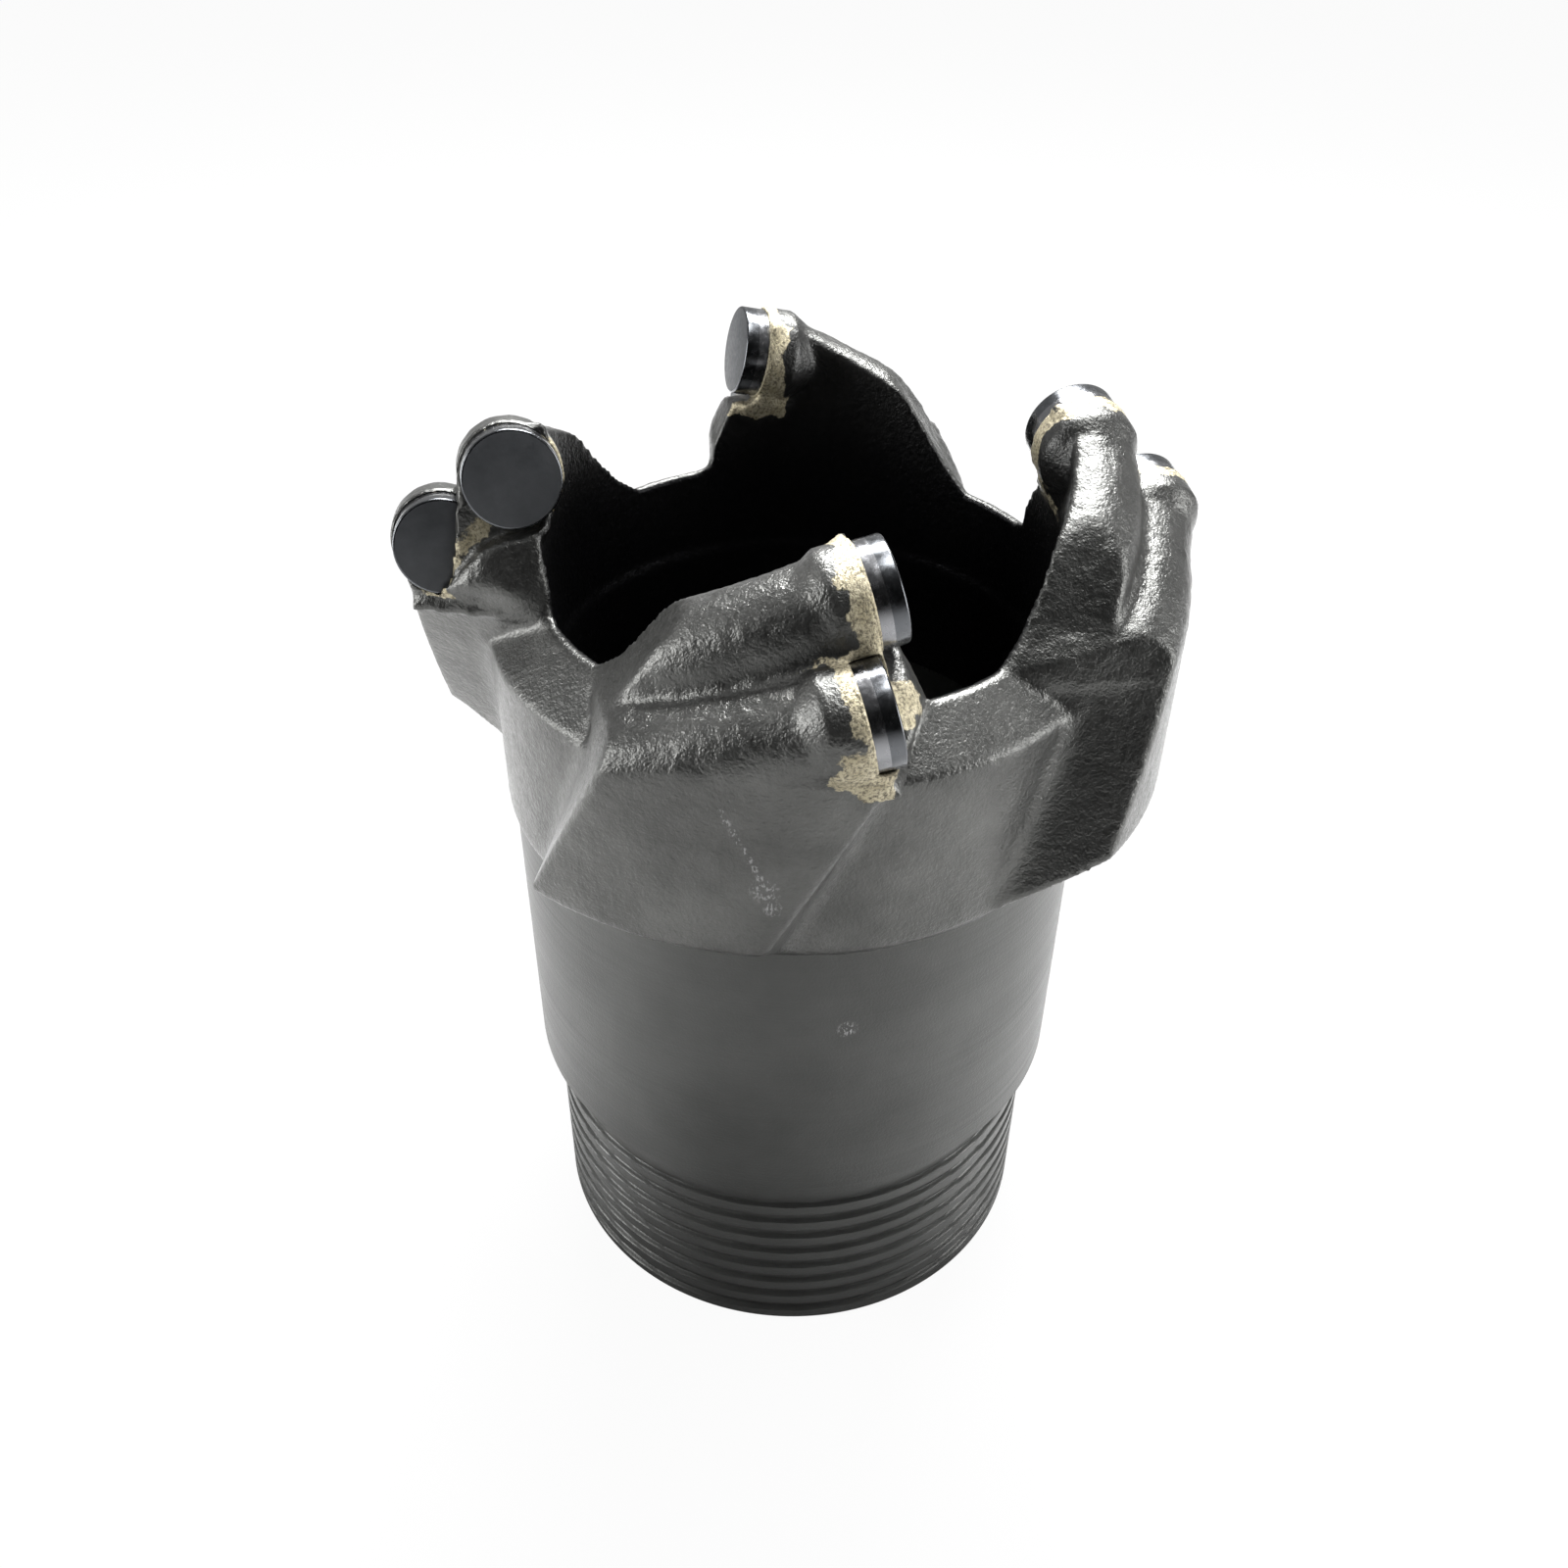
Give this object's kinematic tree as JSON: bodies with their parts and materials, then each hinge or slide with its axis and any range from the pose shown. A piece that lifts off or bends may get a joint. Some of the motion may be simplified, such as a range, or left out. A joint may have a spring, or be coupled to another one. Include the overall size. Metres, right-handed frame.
{
  "type": "pdc core drill bit",
  "caption": "Hollow core drilling bit: steel tube body with a male thread, helical wings with brazed diamond compact cutters, and wide junk slots over an open bore.",
  "frame": {"origin": "on the bit's axis, at the end face of the thread, on which the bit stands", "axes": "+Z along the bit's axis towards the cutting end; -Y towards the wing numbered 1"},
  "size_m": [0.1144, 0.1144, 0.1484],
  "materials": {
    "body_steel": "dark satin steel, turned shank and as-cast wings",
    "diamond": "matt dark slate",
    "carbide": "ground and polished",
    "braze": "pale gold, granular"
  },
  "bodies": {
    "root": {"bit_body": "body_steel", "wing_1_inner_diamond": "diamond", "wing_1_inner_carbide": "carbide", "wing_1_inner_braze": "braze", "wing_1_outer_diamond": "diamond", "wing_1_outer_carbide": "carbide", "wing_1_outer_braze": "braze", "wing_2_inner_diamond": "diamond", "wing_2_inner_carbide": "carbide", "wing_2_inner_braze": "braze", "wing_2_outer_diamond": "diamond", "wing_2_outer_carbide": "carbide", "wing_2_outer_braze": "braze", "wing_3_inner_diamond": "diamond", "wing_3_inner_carbide": "carbide", "wing_3_inner_braze": "braze", "wing_3_outer_diamond": "diamond", "wing_3_outer_carbide": "carbide", "wing_3_outer_braze": "braze", "wing_4_inner_diamond": "diamond", "wing_4_inner_carbide": "carbide", "wing_4_inner_braze": "braze", "wing_4_outer_diamond": "diamond", "wing_4_outer_carbide": "carbide", "wing_4_outer_braze": "braze"}
  },
  "joints": []
}
